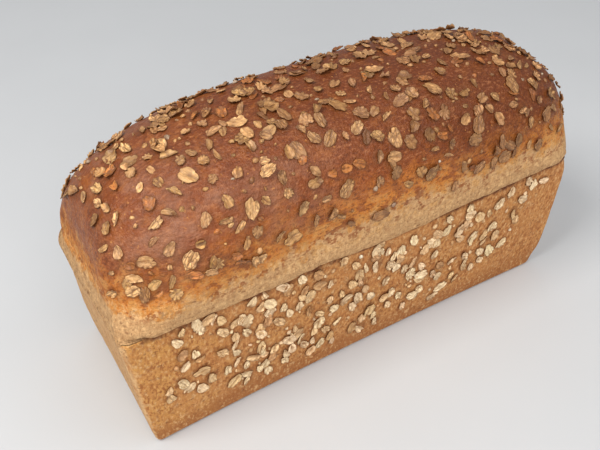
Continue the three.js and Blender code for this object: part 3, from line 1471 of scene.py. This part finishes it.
    def bump(self, height: Socket, depth: float) -> None:
        """Gives the shader fine relief.

        Args:
            height: the relief, from about 0 to 1.
            depth: how deep it is in millimetres.
        """
        node = self.add("Bump")
        self.feed(node.inputs["Strength"], 1.0)
        self.feed(node.inputs["Distance"], depth * MM)
        self.feed(node.inputs["Height"], height)
        self.feed(self.shader.inputs["Normal"], node.outputs["Normal"])


@dataclass(frozen=True)
class CrustFinish:
    """Baked wholemeal crust: tan where the tin was, pale where it tore, brown where it met the oven."""

    pale: Colour = (0.565, 0.32, 0.142)
    strand: Colour = (0.42, 0.215, 0.085)
    straw: Colour = (0.56, 0.235, 0.055)
    orange: Colour = (0.545, 0.18, 0.024)
    brown: Colour = (0.25, 0.06, 0.010)
    # Painted sheen: the greyish colour laid where the crown's shoulders reflect the light.
    russet: Colour = (0.42, 0.165, 0.066)
    painted_sheen_colour: Colour = (0.29, 0.13, 0.073)
    umber: Colour = (0.175, 0.041, 0.008)
    # Also the colour of the painted shade in the crease and over the top.
    dark: Colour = (0.10, 0.024, 0.007)
    tan: Colour = (0.54, 0.24, 0.078)
    honey: Colour = (0.60, 0.29, 0.08)
    light: Colour = (0.80, 0.50, 0.23)
    foot: Colour = (0.34, 0.12, 0.032)
    ruddy: Colour = (0.46, 0.165, 0.045)
    # The bran's colour, also used for the painted shade in rings round the flakes.
    bran_and_shade: Colour = (0.16, 0.052, 0.016)
    end: Colour = (0.68, 0.41, 0.19)

    # The walls' mottling, in the order in which it is laid on.
    golden = Cloud(26, 0.38, 0.62)
    blotches = Cloud(2.6, 0.5, 0.68, 0.75, (1, 1, 1.4))
    redder = Cloud(8, 0.42, 0.62, 0.42, detail=4, shift=120)
    end_streaks = Cloud(2.0, 0.44, 0.7, stretch=(1, 1, 5.0))
    pale_spots = Cloud(2.6, 0.54, 0.70, 0.6, (1, 1, 1.4), detail=4)
    dark_grain = Cloud(1.5, 0.50, 0.61, 1.0, (1, 1, 1.7), shift=30)
    pale_grain = Cloud(1.5, 0.45, 0.34, 0.45, (1, 1, 1.7), shift=30)

    # The crown's mottling, with a painted sheen among it, in the order in which it is laid on.
    browner = Cloud(5.0, 0.52, 0.59, 0.8, (1.2, 1.2, 1), detail=7, shift=90)
    paler = Cloud(5.0, 0.48, 0.40, 0.6, (1.2, 1.2, 1), detail=7, shift=90)
    mottle = Cloud(8, 0.47, 0.7, 0.32, detail=5)
    scorch = Cloud(5.5, 0.52, 0.72, 0.6, detail=4, shift=40)
    dark_strands = Cloud(1.9, 0.5, 0.64, 0.75, (1, 1, 1.7), detail=6)
    pale_strands = Cloud(1.9, 0.48, 0.34, 0.6, (1, 1, 1.7), detail=6)
    # Patches of painted sheen.
    painted_sheen_patches = Cloud(15, 0.36, 0.62, 0.75, detail=4, shift=150)
    deeper = Cloud(24, 0.5, 0.64, 0.5, shift=210)
    dark_skin = Cloud(1.2, 0.52, 0.66, 0.62, (1.9, 1, 1), detail=2)
    lit_skin = Cloud(1.2, 0.46, 0.3, 0.5, (1.9, 1, 1), detail=2)

    # How many millimetres the browning's ramp spans, and how far a place's own browning moves it.
    ramp_reach = 80.0
    browned_reach = 10.0

    def wall(self, sheet: NodeSheet, along: Socket, height: Socket) -> Socket:
        """The colour of the sides that the tin shaped.

        Args:
            sheet: the material's sheet.
            along: millimetres along the loaf.
            height: millimetres above the table.

        Returns:
            The colour's socket.
        """
        towards_left = sheet.span(along, -40, -115, 0.25, 1)
        low = sheet.math("MULTIPLY_ADD", sheet.noise(self.golden.size), 14.0, height)
        pale_end = sheet.mix(sheet.cover(self.end_streaks), self.end, self.tan)
        rough = sheet.span(sheet.noise(11, shift=60), 0.38, 0.6, 0.5, 1)
        fainter_at_end = sheet.span(sheet.reading("end"), 0, 1, 1, 0.5)
        return sheet.layered(
            self.tan,
            (sheet.cover(self.golden, towards_left), self.honey),
            (sheet.cover(self.blotches), self.foot),
            (sheet.cover(self.redder), self.ruddy),
            (sheet.span(low, 27, 12, 0, 0.7), self.foot),
            (sheet.reading("end"), pale_end),
            (sheet.cover(self.pale_spots), self.light),
            (sheet.cover(self.dark_grain, rough, fainter_at_end), self.foot),
            (sheet.cover(self.pale_grain), self.light),
        )

    def baked(self, sheet: NodeSheet, level: Socket) -> Socket:
        """The plain browning, from the torn band to the summit.

        Args:
            sheet: the material's sheet.
            level: how far up the browning a place is, in millimetres.

        Returns:
            The colour's socket.
        """
        stops = [
            (0.0, self.pale),
            (0.20, self.pale),
            (0.245, self.straw),
            (0.32, self.orange),
            (0.54, self.brown),
            (1.0, self.umber),
        ]
        return sheet.ramp(sheet.math("DIVIDE", level, self.ramp_reach), stops)

    def crown(self, sheet: NodeSheet, rise: Socket) -> Socket:
        """The colour from the torn band to the summit.

        Args:
            sheet: the material's sheet.
            rise: millimetres up the surface from the rim.

        Returns:
            The colour's socket.
        """
        ragged = sheet.math("ADD", sheet.sway(9.0, 15, 2), sheet.sway(15.0, 4.2, 7, (1, 1, 1.3)))
        level = sheet.math("ADD", rise, ragged)
        level = sheet.math("MULTIPLY_ADD", sheet.reading("browned"), self.browned_reach, level)
        upper = sheet.span(level, 24, 38)
        amber = sheet.product(sheet.span(rise, 11, 20), sheet.span(rise, 46, 30))
        torn = sheet.span(rise, 30, 18)
        painted_sheen = sheet.reading("painted_sheen")
        fainter_below = sheet.span(rise, 18, 36, 0.3, 1)
        # The dark grain is fainter under the painted sheen.
        fainter_in_sheen = sheet.span(painted_sheen, 0, 1, 1, 0.45)
        lit = sheet.mix(sheet.span(rise, 16, 30), self.light, self.russet)
        return sheet.layered(
            self.baked(sheet, level),
            (sheet.cover(self.browner, amber), self.brown),
            (sheet.cover(self.paler, amber), self.honey),
            (sheet.cover(self.mottle, upper), self.orange),
            # Darker top: partly baked, partly painted shade towards the right.
            (sheet.reading("darker_top_and_shade"), self.dark),
            (sheet.cover(self.scorch, upper), self.dark),
            (sheet.cover(self.dark_strands, torn), self.strand),
            (sheet.cover(self.pale_strands, torn), self.light),
            # Painted sheen over the left half's shoulders.
            (sheet.cover(self.painted_sheen_patches, painted_sheen), self.painted_sheen_colour),
            (sheet.cover(self.deeper, upper), self.umber),
            (sheet.cover(self.dark_skin, fainter_below, fainter_in_sheen), self.dark),
            (sheet.cover(self.lit_skin), lit),
        )

    def flecks(self, sheet: NodeSheet, rise: Socket, colour: Socket) -> Socket:
        """Bran in the crust, flour on the crown, and painted shade along the crease and in rings round
        the flakes.

        Args:
            sheet: the material's sheet.
            rise: millimetres up the surface from the rim.
            colour: the crust's colour so far.

        Returns:
            The colour's socket.
        """
        lower = sheet.span(sheet.span(rise, 30, 22), 0, 1, 0.25, 0.5)
        small_bran = sheet.specks(2.0, 0.2, 0.26, (1, 1, 1.5))
        large_bran = sheet.specks(3.3, 0.34, 0.26, (1.4, 1.4, 0.9))
        dust = sheet.product(sheet.specks(2.7, 0.3, 0.2), sheet.span(rise, 18, 30, 0, 0.55))
        # Painted shade: a broken dark line in the crease under the lip.
        wander = sheet.math("MULTIPLY_ADD", sheet.noise(4, 4), 4.4, -2.4)
        off_crease = sheet.math("ABSOLUTE", sheet.math("ADD", rise, wander))
        broken = sheet.span(sheet.noise(7), 0.36, 0.56, 0.35, 1)
        line = sheet.span(off_crease, 4.0, 1.2, 0, 0.95)
        return sheet.layered(
            colour,
            (sheet.product(small_bran, lower), self.bran_and_shade),
            (sheet.product(large_bran, lower), self.bran_and_shade),
            (dust, self.straw),
            # Painted shade in the crease.
            (sheet.product(line, sheet.reading("crease"), broken), self.dark),
            # Painted shade in a ring round each flake.
            (sheet.product(sheet.reading("flake_ring_shade"), 0.5), self.bran_and_shade),
        )

    def material(self) -> bpy.types.Material:
        """Lays out the whole finish.

        Returns:
            A material that reads what Crust keeps for each point.
        """
        material = bpy.data.materials.new("baked_crust")
        sheet = NodeSheet(material)
        rise = sheet.product(sheet.reading("rise"), Crust.rise_unit)
        place = sheet.add("SeparateXYZ")
        sheet.feed(place.inputs[0], sheet.place)
        edge = sheet.product(sheet.reading("end"), sheet.sway(10.0, 6, 4))
        above = sheet.span(sheet.math("ADD", rise, edge), 0.2, 0.9)
        wall = self.wall(sheet, place.outputs["X"], place.outputs["Z"])
        colour = self.flecks(sheet, rise, sheet.mix(above, wall, self.crown(sheet, rise)))
        sheet.feed(sheet.shader.inputs["Base Color"], colour)
        glaze = sheet.span(rise, 16, 40, 0.85, 0.42)
        roughness = sheet.math("ADD", glaze, sheet.sway(0.2, 9, 4))
        sheet.feed(sheet.shader.inputs["Roughness"], roughness)
        fibres = sheet.noise(1.7, stretch=(1, 1, 2.6))
        fibrous = sheet.product(fibres, 2.0, sheet.span(rise, 26, 12))
        fine = sheet.math("MULTIPLY_ADD", sheet.noise(1.0, 2), 0.8, sheet.noise(2.6))
        sheet.bump(sheet.math("MULTIPLY_ADD", fibrous, above, fine), 0.7)
        sheet.shader.inputs["Specular IOR Level"].default_value = 0.3
        return material


@dataclass(frozen=True)
class OatFinish:
    """Dry rolled oat: satin, streaked along its length, with painted shade in its groove."""

    name: str
    roughness: float
    # The scorched colour is also the colour of the painted shade on the flakes.
    scorched: Colour
    charred: float  # how much of the scorched colour shows in blotches
    cracked: float  # how much of it shows in the crinkles' creases, as painted shade

    # What the oat's own colour is multiplied by in its streaks, and on its ridges as a painted highlight.
    dark_streak: Colour = (0.6, 0.42, 0.24)
    pale_streak: Colour = (1.45, 1.42, 1.35)
    ridge_highlight: Colour = (1.5, 1.54, 1.6)

    dark_streaks = Cloud(0.95, 0.50, 0.66, 0.75, (3.4, 1, 1), detail=4)
    pale_streaks = Cloud(0.95, 0.47, 0.34, 0.8, (3.4, 1, 1), detail=4)
    blotch_size = 2.2

    def colour(self, sheet: NodeSheet, own: Socket, lumps: Socket, crisp: Socket) -> Socket:
        """The colour of the flakes.

        Args:
            sheet: the material's sheet.
            own: places about each flake's own middle.
            lumps: the crinkles, 0 in their creases.
            crisp: how strongly the crinkles show.

        Returns:
            The colour's socket.
        """
        tint = sheet.reading("tint", "Color")
        streaks = sheet.cover(self.dark_streaks, place=own)
        colour = sheet.mix(streaks, tint, self.dark_streak, "MULTIPLY")
        streaks = sheet.cover(self.pale_streaks, place=own)
        colour = sheet.mix(streaks, colour, self.pale_streak, "MULTIPLY")
        # Painted highlight on the crinkles' ridges, and painted shade in their creases.
        ridge_highlights = sheet.product(sheet.span(lumps, 0.1, 0.34, 0, 0.7), crisp)
        colour = sheet.mix(ridge_highlights, colour, self.ridge_highlight, "MULTIPLY")
        cracks = sheet.product(sheet.span(lumps, 0.15, 0.0, 0, self.cracked), crisp)
        charred = sheet.cover(Cloud(self.blotch_size, 0.52, 0.74, self.charred), place=own)
        # Painted shade, with the real scorch, in the scorched colour.
        shade = sheet.product(sheet.reading("shade"), 0.85)
        return sheet.layered(colour, *((share, self.scorched) for share in (cracks, charred, shade)))

    def material(self) -> bpy.types.Material:
        """Lays out the whole finish.

        Returns:
            A material that reads what FlakeLayer keeps for each point.
        """
        material = bpy.data.materials.new(self.name)
        sheet = NodeSheet(material)
        own = sheet.reading("grain", "Vector")
        lumps = sheet.crinkles(1.8, (1.9, 0.8, 1), own)
        crisp = sheet.span(sheet.noise(14, 1, place=own), 0.4, 0.6, 0.15, 1)
        sheet.feed(sheet.shader.inputs["Base Color"], self.colour(sheet, own, lumps, crisp))
        blotches = sheet.noise(self.blotch_size, place=own)
        roughness = sheet.span(blotches, 0.3, 0.7, self.roughness, self.roughness + 0.2)
        sheet.feed(sheet.shader.inputs["Roughness"], roughness)
        streaks = sheet.noise(self.dark_streaks.size, 4, self.dark_streaks.stretch, place=own)
        sheet.bump(sheet.math("MULTIPLY_ADD", sheet.product(lumps, crisp), 2.6, streaks), 0.3)
        return material


@dataclass
class Crust:
    """The baked dough itself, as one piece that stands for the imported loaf."""

    skin: Skin
    noise: DoughNoise = DoughNoise(23)
    # The painted shade round each flake: how far past its edge it reaches, and how far off its level.
    ring_width: float = 0.5
    ring_reach: float = 4.0  # how far off the flake's own level the crust is still marked
    half_length: float = 130.0

    rise_unit = 100.0
    ring = Fade(1.2, 0.9)
    browned_bumps = Bumps(0.5, 42)
    browned_right = 0.25
    browned_middle = 0.75
    # Where the painted sheen lies: over the left half's shoulders.
    pale_middle = Hump(15, 60)
    sheen_left = Fade(-132, -114)
    sheen_right = Fade(0, -52)
    sheen_rise = Hump(53, 18)
    # How much darker the top is, partly baked and partly painted shade that grows towards the right.
    deep_least = 0.05
    deep_more = 0.55
    deep_right = Fade(-60, 50)
    deep_lower = Fade(0, 80)
    deep_lower_reach = 18.0
    deep_above = Fade(42, 66)
    end_facing = Fade(0.45, 0.8)

    def flake_ring_shade(self, seats: list[Seat]) -> np.ndarray:
        """How much painted shade lies on the crust in a ring round each flake.

        Args:
            seats: the flakes.

        Returns:
            Shares from 0 to 1, as (rows, columns).
        """
        dark = np.zeros(self.skin.points.shape[:2])
        for seat in seats:
            offset = self.skin.points - seat.place
            along = offset @ seat.along / (seat.half_length + self.ring_width)
            across = offset @ np.cross(seat.outward, seat.along) / (seat.half_width + self.ring_width)
            close = np.abs(offset @ seat.outward) < self.ring_reach
            dark = np.maximum(dark, self.ring.at(np.hypot(along, across)) * close)
        return dark

    def browned(self) -> np.ndarray:
        """How far down the browning reaches: lowest at the left-hand end, highest near the middle.

        Returns:
            Numbers that are larger where it reaches lower, as (rows, columns).
        """
        x = self.skin.points[..., 0]
        higher = self.browned_right * x / self.half_length + self.browned_middle * self.pale_middle.at(x)
        return self.noise.relief(self.skin.points, self.browned_bumps) - higher

    def painted_sheen(self) -> np.ndarray:
        """Where a greyish painted sheen lies on the crown: over the left half's shoulders."""
        x = self.skin.points[..., 0]
        return self.sheen_left.at(x) * self.sheen_right.at(x) * self.sheen_rise.at(self.skin.rise)

    def darker_top_and_shade(self) -> np.ndarray:
        """How much darker the top is, from baking and from painted shade: a little at the left-hand end,
        more and lower at the right.

        Returns:
            Shares from 0 to 1, as (rows, columns).
        """
        x = self.skin.points[..., 0]
        reach = self.skin.rise + self.deep_lower_reach * self.deep_lower.at(x)
        return (self.deep_least + self.deep_more * self.deep_right.at(x)) * self.deep_above.at(reach)

    def build(self, seats: list[Seat]) -> bpy.types.Object:
        """Makes and dresses the crust.

        Args:
            seats: every flake that lies on it.

        Returns:
            The piece.
        """
        piece = self.skin.piece("baked_crust")
        self.skin.keep(piece, "rise", self.skin.rise / self.rise_unit)
        self.skin.keep(piece, "browned", self.browned())
        self.skin.keep(piece, "darker_top_and_shade", self.darker_top_and_shade())
        self.skin.keep(piece, "painted_sheen", self.painted_sheen())
        self.skin.keep(piece, "flake_ring_shade", self.flake_ring_shade(seats))
        self.skin.keep(piece, "crease", self.skin.crease())
        self.skin.keep(piece, "end", self.end_facing.at(np.abs(self.skin.normals[..., 0])))
        piece.data.materials.append(CrustFinish().material())
        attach(piece, "root")
        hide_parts("loaf")
        return piece


@dataclass
class FlakeLayer:
    """All the flakes of one part of the loaf, as one piece."""

    name: str
    slot: str
    nodes: list[str]
    seats: list[Seat]
    finish: OatFinish
    maker: FlakeMaker

    # A darker flake loses more blue than red, and no two flakes are quite the same colour.
    light_power = np.array([1.0, 1.22, 1.36])
    tint_range = (0.97, 1.03)
    grain_range = (0, 500)

    def build(self) -> bpy.types.Object:
        """Makes and dresses the flakes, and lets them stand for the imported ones.

        Returns:
            The piece.
        """
        triangles, quads = self.maker.faces()
        points, own, shades, tints, faces = [], [], [], [], []
        total = 0
        for seat in self.seats:
            placed, local, shade = self.maker.placed(seat)
            light = seat.light**self.light_power * self.maker.random.uniform(*self.tint_range, 3)
            tint = [*(np.array(seat.tone.value) * light), 1.0]
            points.append(placed)
            own.append(local + self.maker.random.uniform(*self.grain_range, 3))
            shades.append(shade)
            tints.append(np.tile(tint, (len(placed), 1)))
            faces += (triangles + total).tolist() + (quads + total).tolist()
            total += len(placed)
        piece = add_piece(self.name, np.concatenate(points), faces)
        keep(piece, "shade", Kept.NUMBER, np.concatenate(shades))
        keep(piece, "grain", Kept.PLACE, np.concatenate(own))
        keep(piece, "tint", Kept.COLOUR, np.concatenate(tints))
        piece.data.materials.append(self.finish.material())
        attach(piece, "root")
        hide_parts(*self.nodes)
        return piece


@dataclass
class OatFlakes:
    """The oats on the crown and on both long sides."""

    skin: Skin
    noise: DoughNoise = DoughNoise(41)
    crown_count: int = 660
    front_count: int = 225
    back_count: int = 125
    crown_seed: int = 11
    front_seed: int = 12
    back_seed: int = 13

    toasted = {
        OatTone.GOLDEN: 0.50,
        OatTone.TAN: 0.28,
        OatTone.ORANGE: 0.11,
        OatTone.KHAKI: 0.06,
        OatTone.DARK: 0.02,
    }
    pale = {OatTone.CREAM: 0.64, OatTone.BUFF: 0.26, OatTone.HUSK: 0.10}
    scattered = {
        FlakeKind.WHOLE: 0.34,
        FlakeKind.PUFFED: 0.22,
        FlakeKind.SPLIT: 0.17,
        FlakeKind.CURLED: 0.11,
        FlakeKind.CRUMB: 0.16,
    }
    flattened = {FlakeKind.WHOLE: 0.72, FlakeKind.SPLIT: 0.13, FlakeKind.CRUMB: 0.15}

    # Where the crown's flakes are: from this rise up, crowded at the top, and not on the end faces.
    crown_clumps = Bumps(0.5, 17)
    crown_usual = 0.65
    crown_thinnest = 0.12
    crown_above = Fade(22, 32)
    crown_crowded = Fade(46, 78)
    crown_least = 0.3
    crown_least_left = 0.34
    crown_left = Fade(-40, -90)
    crown_right = Fade(10, 90)
    crown_right_more = 0.25
    crown_facing = Fade(0.94, 0.74)

    # Where the sides' flakes are: in a band that starts higher towards both ends, thinner at the right.
    side_clumps = Bumps(0.7, 15, shift=300)
    side_usual = 0.6
    side_thinnest = 0.08
    side_lowest = 14.0
    side_left = Fade(-70, -108)
    side_left_higher = 13.0
    side_right = Fade(40, 108)
    side_right_higher = 22.0
    side_above = Fade(-3, 4)
    side_ends = Fade(122, 92)
    side_middle = 3.0
    side_thinner = Fade(20, 90)
    side_thinner_share = 0.7
    side_facing = 0.85
    side_highest_rise = -1.5

    def crown_density(self) -> np.ndarray:
        """Dense along the top, thinner down the shoulders, none on the torn band.

        Returns:
            How likely a flake is on each face of the skin, as (rows - 1, columns).
        """
        place, rise = self.skin.points[:-1], self.skin.rise[:-1]
        x, facing = place[..., 0], np.abs(self.skin.normals[:-1, :, 0])
        clumps = self.crown_usual + self.noise.relief(place, self.crown_clumps)
        least = self.crown_least + self.crown_least_left * self.crown_left.at(x)
        top = self.crown_above.at(rise) * (least + (1 - least) * self.crown_crowded.at(rise))
        more = 1 + self.crown_right_more * self.crown_right.at(x)
        return np.clip(clumps, self.crown_thinnest, None) * top * self.crown_facing.at(facing) * more

    def side_density(self, facing: int) -> np.ndarray:
        """A broad band over a long side, higher and thinner towards its right-hand end.

        Args:
            facing: -1 for the front, 1 for the back.

        Returns:
            How likely a flake is on each face of the skin, as (rows - 1, columns).
        """
        place, rise = self.skin.points[:-1], self.skin.rise[:-1]
        x, z = place[..., 0], place[..., 2]
        towards = self.skin.normals[:-1, :, 1] * facing
        on_side = (towards > self.side_facing) & (rise < self.side_highest_rise)
        lowest = self.side_lowest + self.side_left_higher * self.side_left.at(x)
        lowest += self.side_right_higher * self.side_right.at(x)
        band = self.side_above.at(z - lowest) * self.side_ends.at(np.abs(x - self.side_middle))
        thinner = 1 - self.side_thinner_share * self.side_thinner.at(x)
        clumps = self.side_usual + self.noise.relief(place, self.side_clumps)
        return on_side * band * thinner * np.clip(clumps, self.side_thinnest, None)

    def nodes(self, family: str) -> list[str]:
        """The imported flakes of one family, in order."""
        return sorted(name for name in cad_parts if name.startswith(family))

    def crown(self) -> FlakeLayer:
        """The toasted flakes, standing proud of the crown.

        Returns:
            The layer.
        """
        random = np.random.default_rng(self.crown_seed)
        scatter = Scatter(
            skin=self.skin,
            random=random,
            tones=self.toasted,
            kinds=self.scattered,
            half_length=(2.1, 4.0),
            lift=(-0.1, 0.4),
            tilt=0.13,
            spacing=5.5,
            light=(0.6, 1.05),
            shade_to_right=0.31,
        )
        nodes = self.nodes("crown_flake")
        seats = scatter.spread(self.crown_density(), self.crown_count, scatter.on_nodes(nodes))
        finish = OatFinish(
            name="toasted_oat", roughness=0.36, scorched=(0.15, 0.058, 0.019), charred=0.4, cracked=0.7
        )
        maker = FlakeMaker(random, FlakeShading(edge=0.15))
        return FlakeLayer("oat_flakes_crown", "toasted_oat", nodes, seats, finish, maker)

    def side(self, family: str, name: str, facing: int, count: int, seed: int) -> FlakeLayer:
        """The pale flakes that the tin pressed into a long side.

        Args:
            family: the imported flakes' family.
            name: the new piece's name.
            facing: -1 for the front, 1 for the back.
            count: how many flakes there are.
            seed: what the scatter is drawn from.

        Returns:
            The layer.
        """
        random = np.random.default_rng(seed)
        scatter = Scatter(
            skin=self.skin,
            random=random,
            tones=self.pale,
            kinds=self.flattened,
            half_length=(2.7, 4.3),
            lift=(-0.1, 0.16),
            tilt=0.03,
            spacing=5.3,
            light=(0.82, 1.05),
            turn_spread=0.5,
        )
        nodes = self.nodes(family)
        seats = scatter.spread(self.side_density(facing), count, scatter.on_nodes(nodes))
        finish = OatFinish(
            name="pale_oat", roughness=0.5, scorched=(0.28, 0.12, 0.036), charred=0.15, cracked=0.3
        )
        maker = FlakeMaker(random, FlakeShading(edge=0.3))
        return FlakeLayer(name, "pale_oat", nodes, seats, finish, maker)

    def layers(self) -> list[FlakeLayer]:
        """Scatters all the flakes.

        Returns:
            The crown's layer, the front's and the back's.
        """
        return [
            self.crown(),
            self.side("front_flake", "oat_flakes_front", -1, self.front_count, self.front_seed),
            self.side("back_flake", "oat_flakes_back", 1, self.back_count, self.back_seed),
        ]


@dataclass(frozen=True)
class Lamp:
    """A soft square light that faces the loaf, in metres and watts."""

    name: str
    place: tuple[float, float, float]
    size: float
    power: float
    colour: Colour

    aim = (0, 0, 0.06)

    def build(self) -> None:
        """Hangs the light."""
        light = bpy.data.lights.new(self.name, "AREA")
        light.size = self.size
        light.energy = self.power
        light.color = self.colour
        lamp = bpy.data.objects.new(self.name, light)
        lamp.location = self.place
        lamp.rotation_euler = (Vector(self.aim) - lamp.location).to_track_quat("-Z", "Y").to_euler()
        bpy.context.scene.collection.objects.link(lamp)


@dataclass
class Studio:
    """A plain pale floor, soft light and the camera."""

    azimuth: float = -30.82
    elevation: float = 42.82
    distance: float = 433.6
    lens: float = 47.94
    sensor: float = 36.0
    target: tuple[float, float, float] = (-10.35, 11.05, 47.6)
    floor_half: float = 3000.0
    card_clouds: float = 160.0
    card_grain: float = 1.5
    card_depth: float = 0.03
    card_roughness: float = 0.55
    card_dark: Colour = (0.53, 0.54, 0.55)
    card_light: Colour = (0.58, 0.59, 0.60)
    surround: Colour = (0.93, 0.96, 1.0)
    surround_strength: float = 0.34
    lamps: tuple[Lamp, ...] = (
        Lamp("key", (-0.55, -0.05, 0.95), 0.4, 7.6, (1.0, 0.98, 0.95)),
        Lamp("overhead", (0.32, -0.38, 1.0), 0.7, 2.9, (1.0, 0.99, 0.98)),
        Lamp("front", (-0.3, -0.95, 0.68), 0.8, 7.4, (1.0, 0.98, 0.96)),
        Lamp("back", (0.1, 0.65, 0.9), 0.9, 1.2, (0.97, 0.98, 1.0)),
    )

    def card(self) -> bpy.types.Material:
        """The floor's finish.

        Returns:
            Matt card with faint clouds in it.
        """
        material = bpy.data.materials.new("pale_card")
        sheet = NodeSheet(material)
        colour = sheet.mix(sheet.noise(self.card_clouds), self.card_dark, self.card_light)
        sheet.feed(sheet.shader.inputs["Base Color"], colour)
        sheet.shader.inputs["Roughness"].default_value = self.card_roughness
        sheet.bump(sheet.noise(self.card_grain, 2), self.card_depth)
        return material

    def floor(self) -> bpy.types.Object:
        """A broad sheet of pale card.

        Returns:
            The floor.
        """
        corners = np.array([(-1, -1, 0), (1, -1, 0), (1, 1, 0), (-1, 1, 0)])
        piece = add_piece("floor", corners * self.floor_half, [[0, 1, 2, 3]])
        piece.data.materials.append(self.card())
        return piece

    def lights(self) -> None:
        """Soft light from above and from the left, over an even grey surround."""
        world = bpy.data.worlds.new("surround")
        bpy.context.scene.world = world
        world.use_nodes = True
        background = world.node_tree.nodes["Background"]
        background.inputs["Color"].default_value = (*self.surround, 1)
        background.inputs["Strength"].default_value = self.surround_strength
        for lamp in self.lamps:
            lamp.build()

    def camera(self) -> None:
        """The camera, looking down at the front and the left-hand end."""
        turn, climb = math.radians(self.azimuth), math.radians(self.elevation)
        level = math.cos(climb)
        back = Vector((math.sin(turn) * level, -math.cos(turn) * level, math.sin(climb)))
        data = bpy.data.cameras.new("camera")
        data.lens = self.lens
        data.sensor_width = self.sensor
        camera = bpy.data.objects.new("camera", data)
        camera.location = (Vector(self.target) + back * self.distance) * MM
        camera.rotation_euler = back.to_track_quat("Z", "Y").to_euler()
        bpy.context.scene.collection.objects.link(camera)
        bpy.context.scene.camera = camera

    def build(self) -> None:
        """Sets the whole studio up."""
        self.floor()
        self.lights()
        self.camera()
        bpy.context.scene.view_settings.view_transform = "Standard"


def report(piece: bpy.types.Object) -> None:
    """Logs a piece's name and how many faces it has."""
    LOG.info("%s: %d faces", piece.name, len(piece.data.polygons))


def main() -> None:
    """Builds the studio, the loaf and its flakes."""
    logging.basicConfig(level=logging.INFO, format="%(name)s: %(message)s")
    Studio().build()
    skin = Skin(LoafForm.from_node("loaf"))
    layers = OatFlakes(skin).layers()
    seats = [seat for layer in layers for seat in layer.seats]
    report(Crust(skin).build(seats))
    for layer in layers:
        report(layer.build())


if __name__ == "__main__":
    main()
